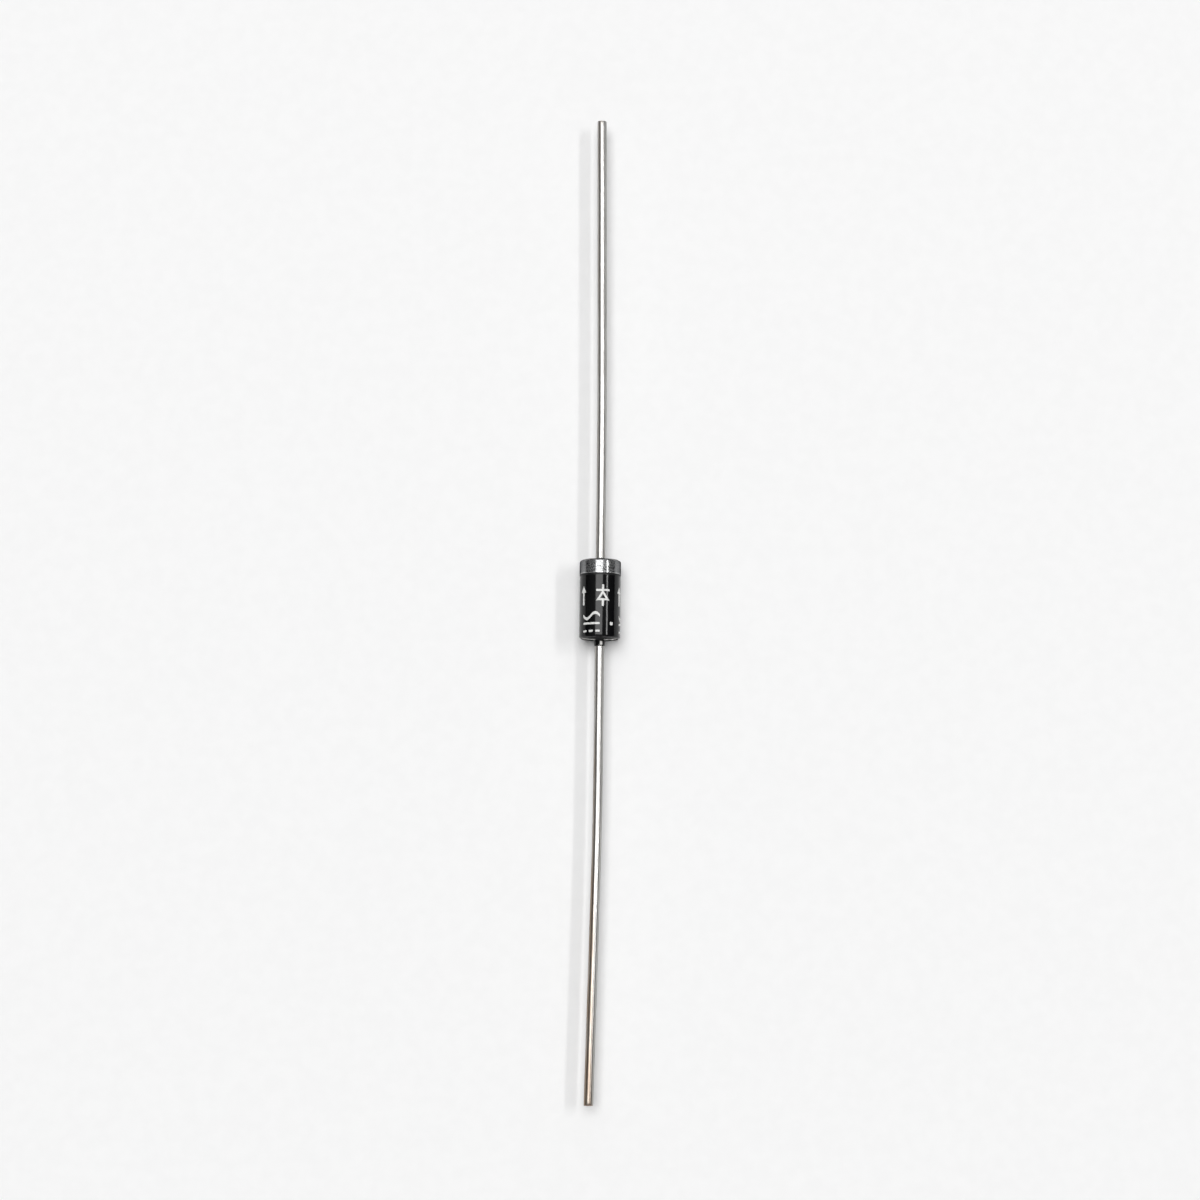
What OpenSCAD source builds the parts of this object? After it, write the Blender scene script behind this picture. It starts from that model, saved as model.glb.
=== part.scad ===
// Axial rectifier diode: a moulded black epoxy cylinder with a silver cathode band,
// white polarity marks and one tinned copper lead out of each end.
// Sizes are in millimetres. The wire axis lies along Y with the cathode at +Y, Z is up,
// and the origin is the middle of the moulded body.

/* [Moulded body] */
// Diameter of the moulded cylinder
body_d = 2.45; // [2.2:0.05:2.7]
// Length of the moulded cylinder between the rims of its end faces
body_len = 4.75; // [4.7:0.05:5.2]
// Radius of the rounded edge round each end face
edge_r = 0.16; // [0.06:0.02:0.3]
// Height by which each end face rises from its rim to the neck
end_rise = 0.05; // [0.01:0.01:0.15]
// Length of the short resin neck that climbs the cathode lead from its end face
cathode_neck_len = 0.1; // [0.06:0.01:0.6]
// Length of the resin neck that climbs the anode lead from its end face
anode_neck_len = 0.38; // [0.15:0.01:0.8]
// Thickness of the resin round the lead where the neck leaves the end face
neck_root_wall = 0.1; // [0.08:0.01:0.2]
// Thickness of the resin round the lead where the neck ends
neck_tip_wall = 0.03; // [0.02:0.01:0.07]

/* [Cathode band] */
// Width of the silver band along the body
band_w = 0.81; // [0.5:0.01:0.9]
// Bare rim left between the end face and the band
band_margin = 0.06; // [0.02:0.01:0.3]
// Thickness of the band's ink
band_ink = 0.02; // [0.015:0.001:0.03]

/* [Leads] */
// Diameter of the tinned copper wire
wire_d = 0.55; // [0.5:0.01:0.6]
// Length of each lead from the rim of the end face to its cut tip
lead_len = 27.5; // [25:0.5:30]
// Width of the broken edge round each cut tip
tip_break = 0.04; // [0.02:0.01:0.1]
// Straight run of the cathode lead, from the rim of the end face to its slight bend
cathode_run = 9; // [4:0.5:14]
// Straight run of the anode lead, from the rim of the end face to its slight bend
anode_run = 11; // [4:0.5:14]
// Drift of the cathode lead's free end towards -X, for each millimetre of wire
cathode_lean = 0.011; // [0.005:0.001:0.05]
// Drift of the anode lead's free end towards -X, for each millimetre of wire
anode_lean = 0.021; // [0.005:0.001:0.05]
// Height by which the worked wire stands proud round its bend
bend_swell = 0.004; // [0.003:0.001:0.008]
// Diameter of the nail head that is soldered to the die
head_d = 1.2; // [1.05:0.05:1.3]
// Thickness of the nail head
head_t = 0.3; // [0.22:0.02:0.4]
// Length of the cone that joins the nail head to the wire
head_cone = 0.14; // [0.06:0.02:0.24]
// Diameter of the bulge that locks the lead in the resin
lock_d = 0.8; // [0.7:0.02:0.95]
// Length of the locking bulge along the lead
lock_len = 0.36; // [0.24:0.02:0.5]
// Depth of the bulge's middle below the rim of the end face
lock_depth = 0.62; // [0.5:0.02:0.9]

/* [Junction] */
// Side of the square silicon die
die_side = 1.05; // [0.9:0.05:1.1]
// Thickness of the silicon die
die_t = 0.26; // [0.2:0.02:0.34]
// Diameter of each solder disc between the die and a nail head
solder_d = 0.9; // [0.7:0.02:1]
// Thickness of each solder disc
solder_t = 0.05; // [0.03:0.01:0.09]
// Diameter of the silicone bead that seals the junction
bead_d = 1.74; // [1.64:0.02:1.9]
// Length by which the bead covers the rim of each nail head
bead_cover = 0.2; // [0.12:0.01:0.22]
// Radius of the bead's rounded shoulders
bead_edge_r = 0.22; // [0.1:0.02:0.28]

/* [Polarity marks] */
// Width of every printed line
mark_line = 0.125; // [0.08:0.005:0.16]
// Thickness of the marks' ink
mark_ink = 0.02; // [0.015:0.001:0.03]
// Number of times that each mark repeats round the body
mark_repeats = 3; // [1:1:3]
// Gap along the body between the band and the first row of marks
band_gap = 0.73; // [0.3:0.01:0.85]
// Length of the diode symbol along the body
symbol_len = 1.3; // [1.1:0.05:1.4]
// Width of the diode symbol's triangle and bar
symbol_w = 0.82; // [0.6:0.02:1]
// Length of the diode symbol's triangle
triangle_len = 0.62; // [0.5:0.02:0.7]
// Length of the arrow that points to the band
arrow_len = 1.16; // [0.8:0.02:1.3]
// Width of the arrow's head
arrow_w = 0.42; // [0.3:0.02:0.6]
// Length of the arrow's head
arrow_head_len = 0.4; // [0.2:0.02:0.6]
// Gap along the body between the two rows of marks
row_gap = 0.33; // [0.2:0.01:0.4]
// Width of the current marks in the second row
current_w = 1.12; // [0.9:0.02:1.3]
// Height of the wave from trough to crest, between the middles of its line
wave_h = 0.36; // [0.2:0.02:0.44]
// Half the height of the wave's line, as a share of the width of every printed line
wave_line_share = 0.7; // [0.5:0.05:0.8]
// Distance from the wave to the long line, and from that line to the dashes
current_pitch = 0.46; // [0.36:0.02:0.5]
// Gap between two dashes of the dashed line
dash_gap = 0.16; // [0.1:0.02:0.2]
// Side of the square dot between two current marks
dot_side = 0.2; // [0.12:0.02:0.3]
// Turn of the first row round the body, from the top towards +X
first_row_turn = 8; // [-60:1:60]
// Turn of the second row round the body, from the top towards +X
second_row_turn = -26; // [-60:1:60]

/* [Hidden] */
$fn = 96;
body_r = body_d / 2;
body_half = body_len / 2;
wire_r = wire_d / 2;
neck_base = body_half + end_rise;
cathode_neck_end = neck_base + cathode_neck_len;
anode_neck_end = neck_base + anode_neck_len;
head_face = die_t / 2 + solder_t;
head_back = head_face + head_t;
lock_middle = body_half - lock_depth;
bend_r = wire_r + bend_swell;
bend_half = sqrt(bend_r * bend_r - wire_r * wire_r);
bead_len = 2 * (head_face + bead_cover);
wave_line_half = mark_line * wave_line_share;
band_top = body_half - band_margin;
band_foot = band_top - band_w;
first_row_middle = band_foot - band_gap - symbol_len / 2;
second_row_top = first_row_middle - symbol_len / 2 - row_gap;
wave_middle = second_row_top - mark_line / 2 - wave_h / 2;
long_line_middle = wave_middle - current_pitch;
dashes_middle = long_line_middle - current_pitch;
dash_count = 3;
dash_w = (current_w - (dash_count - 1) * dash_gap) / dash_count;
repeat_turn = 360 / mark_repeats;
wave_steps = 16;

// Turns a profile drawn as [radius, place along the wire] round the Y axis.
module turned() {
    rotate([-90, 0, 0]) rotate_extrude() children();
}

// Half section of a cylinder with rounded rims. Each end face rises to its middle.
module rounded_section(r, half, round_r, rise = 0) {
    polygon([
        [0, -half - rise], [r - round_r, -half], [r, -half + round_r],
        [r, half - round_r], [r - round_r, half], [0, half + rise]
    ]);
    for (side = [-1, 1])
        translate([r - round_r, side * (half - round_r)]) circle(r = round_r);
}

// Half section of the resin necks round both leads, joined through the body.
module neck_section() {
    root_r = wire_r + neck_root_wall;
    tip_r = wire_r + neck_tip_wall;
    polygon([
        [0, -anode_neck_end], [tip_r, -anode_neck_end], [root_r, -neck_base],
        [root_r, neck_base], [tip_r, cathode_neck_end], [0, cathode_neck_end]
    ]);
}

// Half section of the straight wire from the nail head to `end`, on the cathode side.
module lead_section(end) {
    polygon([
        [0, head_face], [head_d / 2, head_face], [head_d / 2, head_back],
        [wire_r, head_back + head_cone],
        [wire_r, lock_middle - lock_len / 2], [lock_d / 2, lock_middle],
        [wire_r, lock_middle + lock_len / 2], [wire_r, end], [0, end]
    ]);
}

// Half section of everything that the resin is moulded round.
module insert_section() {
    rounded_section(bead_d / 2, bead_len / 2, bead_edge_r);
    lead_section(cathode_neck_end + wire_d);
    mirror([0, 1]) lead_section(anode_neck_end + wire_d);
}

// Half section of the disc-shaped space that solder fills, on the cathode side.
module solder_section() {
    translate([0, die_t / 2]) square([solder_d / 2, solder_t]);
}

module epoxy_body() {
    color("#17171a") turned() difference() {
        union() {
            rounded_section(body_r, body_half, edge_r, end_rise);
            neck_section();
        }
        insert_section();
    }
}

module cathode_band() {
    color("#9d9ea0") turned() intersection() {
        difference() {
            rounded_section(body_r + band_ink, body_half + band_ink, edge_r + band_ink);
            rounded_section(body_r, body_half, edge_r);
        }
        translate([0, band_foot]) square([body_r + band_ink, band_w]);
    }
}

// Outline of a triangle that points to +Y, drawn with a line of the marks' width.
module triangle_outline(w, h) {
    slant = norm([w / 2, h]);
    inner_w = w * (h - mark_line) / h - 2 * mark_line * slant / h;
    inner_top = h / 2 - 2 * mark_line * slant / w;
    difference() {
        polygon([[-w / 2, -h / 2], [w / 2, -h / 2], [0, h / 2]]);
        polygon([
            [-inner_w / 2, mark_line - h / 2], [inner_w / 2, mark_line - h / 2], [0, inner_top]
        ]);
    }
}

// Schematic diode: triangle, cathode bar and a stem at each end.
module diode_symbol() {
    stem_len = (symbol_len - triangle_len + mark_line) / 2;
    triangle_outline(symbol_w, triangle_len);
    translate([0, triangle_len / 2]) square([symbol_w, mark_line], center = true);
    for (side = [-1, 1])
        translate([0, side * (symbol_len - stem_len) / 2])
            square([mark_line, stem_len], center = true);
}

module band_arrow() {
    shaft_len = arrow_len - arrow_head_len / 2;
    translate([-mark_line / 2, -arrow_len / 2]) square([mark_line, shaft_len]);
    translate([0, arrow_len / 2])
        polygon([[0, 0], [-arrow_w / 2, -arrow_head_len], [arrow_w / 2, -arrow_head_len]]);
}

// One full wave, as the line between two curves set apart by the line's width.
module wave_mark() {
    function wave(x) = wave_h / 2 * sin(360 * x / current_w);
    places = [for (i = [0:wave_steps]) current_w * (i / wave_steps - 0.5)];
    polygon(concat(
        [for (x = places) [x, wave(x) + wave_line_half]],
        [for (i = [wave_steps:-1:0]) [places[i], wave(places[i]) - wave_line_half]]
    ));
}

module long_line() {
    square([current_w, mark_line], center = true);
}

module dashed_line() {
    for (i = [0:dash_count - 1])
        translate([-current_w / 2 + i * (dash_w + dash_gap), -mark_line / 2])
            square([dash_w, mark_line]);
}

// Lays a flat mark on the body: `along` is its place on the wire axis, `turn` its angle.
module printed(along, turn) {
    for (i = [0:mark_repeats - 1])
        rotate([0, turn + i * repeat_turn, 0]) intersection() {
            linear_extrude(height = body_d) translate([0, along]) children();
            turned() translate([body_r, -body_half]) square([mark_ink, body_len]);
        }
}

module polarity_marks() {
    color("#f2f2ef") {
        printed(first_row_middle, first_row_turn) diode_symbol();
        printed(first_row_middle, first_row_turn + repeat_turn / 2) band_arrow();
        printed(wave_middle, second_row_turn) wave_mark();
        printed(long_line_middle, second_row_turn) long_line();
        printed(dashes_middle, second_row_turn) dashed_line();
        printed(long_line_middle, second_row_turn + repeat_turn / 2)
            square(dot_side, center = true);
    }
}

// A whole lead that leaves towards +Y. A ball joins its straight run to its leaning end.
module lead(run, lean) {
    free_len = lead_len - run;
    turned() lead_section(body_half + run - bend_half / 2);
    translate([0, body_half + run, 0]) {
        sphere(r = bend_r);
        rotate([0, 0, asin(lean)]) turned() polygon([
            [0, bend_half / 2], [wire_r, bend_half / 2], [wire_r, free_len - tip_break],
            [wire_r - tip_break, free_len], [0, free_len]
        ]);
    }
}

module cathode_lead() {
    color("#d3d1cb") lead(cathode_run, cathode_lean);
}

module anode_lead() {
    color("#d3d1cb") mirror([0, 1, 0]) lead(anode_run, anode_lean);
}

module silicon_die() {
    color("#5b6070") cube([die_side, die_t, die_side], center = true);
}

module cathode_solder() {
    color("#a9abad") turned() solder_section();
}

module anode_solder() {
    color("#a9abad") mirror([0, 1, 0]) turned() solder_section();
}

module junction_bead() {
    color("#e6e2da") difference() {
        turned() difference() {
            rounded_section(bead_d / 2, bead_len / 2, bead_edge_r);
            for (side = [0, 1]) mirror([0, side]) {
                lead_section(body_half);
                solder_section();
            }
        }
        silicon_die();
    }
}

epoxy_body();
cathode_band();
polarity_marks();
cathode_lead();
anode_lead();
silicon_die();
cathode_solder();
anode_solder();
junction_bead();
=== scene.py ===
"""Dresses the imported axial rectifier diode: moulded body, inks, tinned leads and the junction inside.

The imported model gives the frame. Sizes are written in millimetres and become metres in the meshes.
Every finished piece lies in the frame's own place: the wire axis along Y, the cathode at +Y.
"""

from __future__ import annotations

import itertools
import logging
import math
from collections.abc import Sequence
from dataclasses import dataclass
from enum import Enum
from functools import partial, reduce

import bmesh
import bpy
from mathutils import Matrix, Vector, noise
from mathutils.geometry import delaunay_2d_cdt

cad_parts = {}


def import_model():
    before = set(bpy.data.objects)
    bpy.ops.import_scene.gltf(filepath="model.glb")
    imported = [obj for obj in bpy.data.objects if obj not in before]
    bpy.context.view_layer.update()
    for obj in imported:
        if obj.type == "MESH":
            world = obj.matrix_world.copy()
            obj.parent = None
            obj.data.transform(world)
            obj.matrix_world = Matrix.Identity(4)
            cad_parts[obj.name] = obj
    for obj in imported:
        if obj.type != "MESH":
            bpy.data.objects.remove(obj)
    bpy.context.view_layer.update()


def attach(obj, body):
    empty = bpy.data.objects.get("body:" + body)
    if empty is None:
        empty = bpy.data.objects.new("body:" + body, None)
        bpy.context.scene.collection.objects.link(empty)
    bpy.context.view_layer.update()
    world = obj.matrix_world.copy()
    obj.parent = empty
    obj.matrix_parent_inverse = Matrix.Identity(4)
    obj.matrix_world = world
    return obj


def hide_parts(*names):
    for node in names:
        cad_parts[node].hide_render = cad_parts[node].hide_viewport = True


LOG = logging.getLogger("axial_diode")
MM = 0.001
TAU = 2 * math.pi
BODY = "root"
SHARP_ANGLE = math.radians(38)
SEAM_REACH = 2e-8  # points nearer than this, in metres, are one point
NOISE_CREST = 0.62  # the smooth noise seldom rises above this
FLASH_LEVEL = 0.4  # height of the mould's flash above the wire axis

Colour = tuple[float, float, float]
Point = tuple[float, float]
Span = tuple[float, float]
Flat = list[Point]
Socket = bpy.types.NodeSocket


class End(Enum):
    """The two ends of the wire axis."""

    CATHODE = 1
    ANODE = -1


# ---------------------------------------------------------------- node trees


class Graph:
    """A node tree that is written with short calls."""

    def __init__(self, tree: bpy.types.NodeTree) -> None:
        """Keeps the tree that the calls add to."""
        self.tree = tree

    def add(self, kind: str, *inputs: object, **settings: object) -> bpy.types.Node:
        """Adds a node.

        Args:
            kind: The node's type, such as ShaderNodeMath.
            inputs: Values or sockets for its first inputs. None leaves one as it is.
            settings: The node's own properties.

        Returns:
            The new node.
        """
        node = self.tree.nodes.new(kind)
        for name, value in settings.items():
            setattr(node, name, value)
        sockets = [socket for socket in node.inputs if socket.enabled]
        for socket, value in zip(sockets, inputs):
            self.feed(socket, value)
        return node

    def feed(self, socket: Socket, value: object) -> None:
        """Joins an input socket to another socket, or sets its value.

        Args:
            socket: The input socket.
            value: The socket to join it to, or its value. None leaves it as it is.
        """
        if isinstance(value, bpy.types.NodeSocket):
            self.tree.links.new(value, socket)
        elif value is not None:
            socket.default_value = value

    def math(self, operation: str, *inputs: object) -> Socket:
        """Adds a Math node and returns its result."""
        return self.add("ShaderNodeMath", *inputs, operation=operation).outputs[0]

    def total(self, *terms: object) -> Socket:
        """Adds two or more numbers."""
        return reduce(partial(self.math, "ADD"), terms)

    def product(self, *factors: object) -> Socket:
        """Multiplies two or more numbers."""
        return reduce(partial(self.math, "MULTIPLY"), factors)

    def split(self, vector: Socket) -> Sequence[Socket]:
        """Splits a vector into its three numbers."""
        return self.add("ShaderNodeSeparateXYZ", vector).outputs

    def join(self, x: object, y: object, z: object) -> Socket:
        """Makes a vector from three numbers."""
        return self.add("ShaderNodeCombineXYZ", x, y, z).outputs[0]

    def noise(self, place: Socket, scale: object, detail: float = 2.0) -> Socket:
        """Returns a smooth noise, mostly between 0.3 and 0.7.

        Args:
            place: Where the noise is read.
            scale: Its waves in one unit of the place.
            detail: How many finer layers it has.

        Returns:
            The noise.
        """
        node = self.add("ShaderNodeTexNoise", place)
        self.feed(node.inputs["Scale"], scale)
        node.inputs["Detail"].default_value = detail
        return node.outputs[0]

    def ramp(self, value: object, span: Span, made: Span = (0.0, 1.0)) -> Socket:
        """Maps a number from one range to another, and keeps it in the second one.

        Args:
            value: The number to map.
            span: The start and the end of the first range.
            made: What that start and that end become.

        Returns:
            The mapped number.
        """
        return self.add("ShaderNodeMapRange", value, *span, *made).outputs[0]

    def blend(self, factor: object, first: object, second: object) -> Socket:
        """Mixes two colours.

        Args:
            factor: The second colour's share.
            first: The first colour, as a socket or three numbers.
            second: The second colour, likewise.

        Returns:
            The mixed colour.
        """
        node = self.add("ShaderNodeMix", data_type="RGBA")
        self.feed(node.inputs["Factor"], factor)
        for name, value in (("A", first), ("B", second)):
            socket = next(item for item in node.inputs if item.name == name and item.type == "RGBA")
            self.feed(socket, (*value, 1.0) if isinstance(value, tuple) else value)
        return next(item for item in node.outputs if item.type == "RGBA")


class FormTree(Graph):
    """A Geometry Nodes tree with named inputs that ends in one plain mesh.

    Attributes:
        given: The sockets of the tree's own inputs.
        result: The socket that takes the finished geometry.
    """

    def __init__(self, name: str, **inputs: str) -> None:
        """Starts the tree.

        Args:
            name: The tree's name.
            inputs: The kind of each named input, with _ for a space: Int, Float or Material.
        """
        super().__init__(bpy.data.node_groups.new(name, "GeometryNodeTree"))
        face = self.tree.interface
        kinds = {"Geometry": "Geometry", **inputs, "Material": "Material"}
        for key, kind in kinds.items():
            label = key.replace("_", " ")
            face.new_socket(name=label, in_out="INPUT", socket_type="NodeSocket" + kind)
        face.new_socket(name="Geometry", in_out="OUTPUT", socket_type="NodeSocketGeometry")
        self.given = self.add("NodeGroupInput").outputs
        self.result = self.add("NodeGroupOutput").inputs[0]

    def position(self) -> Socket:
        """Returns each point's place."""
        return self.add("GeometryNodeInputPosition").outputs[0]

    def round_axis(self, radius: Socket, angle: Socket, along: Socket) -> Socket:
        """Returns a place round the wire axis.

        Args:
            radius: Its distance from the axis.
            angle: Its angle from straight up, towards +X.
            along: Its place along the axis.

        Returns:
            The place as a vector.
        """
        across = self.product(radius, self.math("SINE", angle))
        return self.join(across, along, self.product(radius, self.math("COSINE", angle)))

    def move(self, geometry: Socket, place: object = None, offset: object = None) -> Socket:
        """Moves the points to a place, or by an offset.

        Args:
            geometry: The geometry to move.
            place: Where each point goes.
            offset: How far each point moves.

        Returns:
            The moved geometry.
        """
        node = self.add("GeometryNodeSetPosition", geometry)
        self.feed(node.inputs["Position"], place)
        self.feed(node.inputs["Offset"], offset)
        return node.outputs[0]

    def close(self, geometry: Socket) -> None:
        """Ends the tree in Realize Instances and Set Material.

        Args:
            geometry: The finished geometry.
        """
        real = self.add("GeometryNodeRealizeInstances", geometry).outputs[0]
        named = self.add("GeometryNodeSetMaterial", real)
        self.feed(named.inputs["Material"], self.given["Material"])
        self.feed(self.result, named.outputs[0])

    def apply(self, name: str, start: bpy.types.Mesh, **values: object) -> bpy.types.Object:
        """Runs the tree on a starting mesh.

        Args:
            name: The finished piece's name.
            start: The mesh that the tree works from.
            values: The value of each named input, with _ for a space.

        Returns:
            A plain mesh object with no modifier left on it, all its faces in one material slot.
        """
        piece = bpy.data.objects.new(name, start)
        bpy.context.scene.collection.objects.link(piece)
        modifier = piece.modifiers.new(self.tree.name, "NODES")
        modifier.node_group = self.tree
        wanted = {key.replace("_", " "): value for key, value in values.items()}
        for item in self.tree.interface.items_tree:
            if item.in_out == "INPUT" and item.name in wanted:
                modifier[item.identifier] = wanted[item.name]
        bpy.context.view_layer.update()
        depsgraph = bpy.context.evaluated_depsgraph_get()
        mesh = bpy.data.meshes.new_from_object(piece.evaluated_get(depsgraph))
        piece.modifiers.remove(modifier)
        # The grid brings an empty slot with it, so the slots are made again from the one finish.
        finish = next(material for material in mesh.materials if material)
        mesh.materials.clear()
        mesh.materials.append(finish)
        mesh.polygons.foreach_set("material_index", [0] * len(mesh.polygons))
        piece.data = mesh
        mesh.name = name
        return piece


class TurnedTree(FormTree):
    """Turns a half section round the wire axis.

    The starting mesh is the section, as points [radius, place along Y]. The surface takes a fine
    ripple, and a wire's form leans towards -X past its bend.
    """

    def __init__(self) -> None:
        """Builds the tree."""
        super().__init__(
            "turned_form",
            Segments="Int",
            Ripple_Height="Float",
            Ripple_Scale="Float",
            Ripple_Stretch="Float",
            Seed="Float",
            Bend_Place="Float",
            Bend_Length="Float",
            Lean="Float",
        )
        size = self.add("GeometryNodeAttributeDomainSize", self.given["Geometry"])
        count = size.outputs["Point Count"]
        rows = self.total(self.given["Segments"], 1.0)
        grid = self.add("GeometryNodeMeshGrid", 1.0, 1.0, count, rows).outputs["Mesh"]
        across, around, _ = self.split(self.position())
        last = self.math("SUBTRACT", count, 1.0)
        sample = self.add("GeometryNodeSampleIndex", data_type="FLOAT_VECTOR")
        self.feed(sample.inputs["Geometry"], self.given["Geometry"])
        self.feed(sample.inputs["Value"], self.position())
        self.feed(sample.inputs["Index"], self.math("ROUND", self.product(self.total(across, 0.5), last)))
        radius, along, _ = self.split(sample.outputs[0])
        angle = self.product(self.total(around, 0.5), TAU)
        turned = self.move(grid, self.round_axis(radius, angle, along))
        merge = self.add("GeometryNodeMergeByDistance", turned)
        merge.inputs["Distance"].default_value = SEAM_REACH
        solid = self.move(merge.outputs[0], offset=self.ripple())
        self.close(self.move(solid, offset=self.bend()))

    def ripple(self) -> Socket:
        """Makes the fine ripple of the surface, which stays almost wholly under it.

        Returns:
            The offset along the surface's normal.
        """
        x, y, z = self.split(self.position())
        stretched = self.product(y, self.given["Ripple Stretch"])
        place = self.join(x, self.total(stretched, self.given["Seed"]), z)
        wave = self.math("SUBTRACT", self.noise(place, self.given["Ripple Scale"]), NOISE_CREST)
        normal = self.add("GeometryNodeInputNormal").outputs[0]
        offset = self.add("ShaderNodeVectorMath", normal, operation="SCALE")
        self.feed(offset.inputs["Scale"], self.product(wave, self.given["Ripple Height"]))
        return offset.outputs[0]

    def bend(self) -> Socket:
        """Makes the lean of a wire past its bend.

        Returns:
            The offset towards -X.
        """
        _, along, _ = self.split(self.position())
        reach = self.given["Bend Length"]
        half = self.product(reach, 0.5)
        past = self.math("SUBTRACT", self.math("ABSOLUTE", along), self.given["Bend Place"])
        inside = self.math("MINIMUM", self.math("MAXIMUM", self.total(past, half), 0.0), reach)
        curve = self.math("DIVIDE", self.product(inside, inside), self.product(reach, 2.0))
        straight = self.math("MAXIMUM", self.math("SUBTRACT", past, half), 0.0)
        drift = self.product(self.total(curve, straight), self.given["Lean"])
        return self.join(self.product(drift, -1.0), 0.0, 0.0)


class WrappedTree(FormTree):
    """Repeats flat marks round the body and lays them on its surface.

    The starting mesh holds the marks as [place round the body, place along it, height of the ink].
    """

    def __init__(self) -> None:
        """Builds the tree."""
        super().__init__("marks_round_body", Repeats="Int", Body_Radius="Float")
        body_radius = self.given["Body Radius"]
        pitch = self.math("DIVIDE", self.product(body_radius, TAU), self.given["Repeats"])
        line = self.add("GeometryNodeMeshLine")
        self.feed(line.inputs["Count"], self.given["Repeats"])
        self.feed(line.inputs["Offset"], self.join(pitch, 0.0, 0.0))
        copies = self.add("GeometryNodeInstanceOnPoints", line.outputs[0])
        self.feed(copies.inputs["Instance"], self.given["Geometry"])
        real = self.add("GeometryNodeRealizeInstances", copies.outputs[0]).outputs[0]
        around, along, height = self.split(self.position())
        angle = self.math("DIVIDE", around, body_radius)
        wrapped = self.round_axis(self.total(body_radius, height), angle, along)
        self.close(self.move(real, wrapped))


# ---------------------------------------------------------------- finishes


class Shading(Graph):
    """A material's node tree round one Principled shader, with places read in millimetres.

    Attributes:
        material: The material.
        shader: Its Principled shader.
        object_place: The place on the piece in metres.
        place: The place on the piece in millimetres.
    """

    def __init__(self, name: str, **sockets: object) -> None:
        """Starts the material.

        Args:
            name: The material's name.
            sockets: Uniform values set on the shader's own sockets, with _ for a space.
        """
        self.material = bpy.data.materials.new(name)
        self.material.use_nodes = True
        super().__init__(self.material.node_tree)
        self.shader = self.tree.nodes["Principled BSDF"]
        for key, value in sockets.items():
            self.shader.inputs[key.replace("_", " ")].default_value = value
        self.object_place = self.add("ShaderNodeTexCoord").outputs["Object"]
        self.place = self.mapped(1000.0, 1000.0)

    def mapped(self, across: float, along: float) -> Socket:
        """Scales the place on the piece.

        Args:
            across: The scale across the wire axis.
            along: The scale along the wire axis.

        Returns:
            The scaled place.
        """
        node = self.add("ShaderNodeMapping", self.object_place)
        node.inputs["Scale"].default_value = (across, along, across)
        return node.outputs[0]

    def cells(self, scale: float) -> bpy.types.Node:
        """Adds a pattern of small cells.

        Args:
            scale: Cells in a millimetre.

        Returns:
            The pattern's node.
        """
        node = self.add("ShaderNodeTexVoronoi", self.place)
        node.inputs["Scale"].default_value = scale
        return node

    def within(self, value: Socket, middle: float, edge: Span) -> Socket:
        """Finds where a number lies near a middle.

        Args:
            value: The number.
            middle: The middle.
            edge: Distances from the middle where the result starts to fall and where it gets to 0.

        Returns:
            1 near the middle and 0 away from it.
        """
        away = self.math("ABSOLUTE", self.math("SUBTRACT", value, middle))
        return self.ramp(away, edge, (1.0, 0.0))

    def finish(self, colour: Socket, roughness: Socket, height: Socket, depth: float) -> bpy.types.Material:
        """Joins the colour, roughness and relief to the shader.

        Args:
            colour: The base colour.
            roughness: The roughness.
            height: The relief, from 0 to 1.
            depth: The relief's depth in millimetres.

        Returns:
            The finished material.
        """
        self.feed(self.shader.inputs["Base Color"], colour)
        self.feed(self.shader.inputs["Roughness"], roughness)
        bump = self.add("ShaderNodeBump")
        bump.inputs["Strength"].default_value = 1.0
        bump.inputs["Distance"].default_value = depth * MM
        self.feed(bump.inputs["Height"], height)
        self.feed(self.shader.inputs["Normal"], bump.outputs["Normal"])
        return self.material


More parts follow.
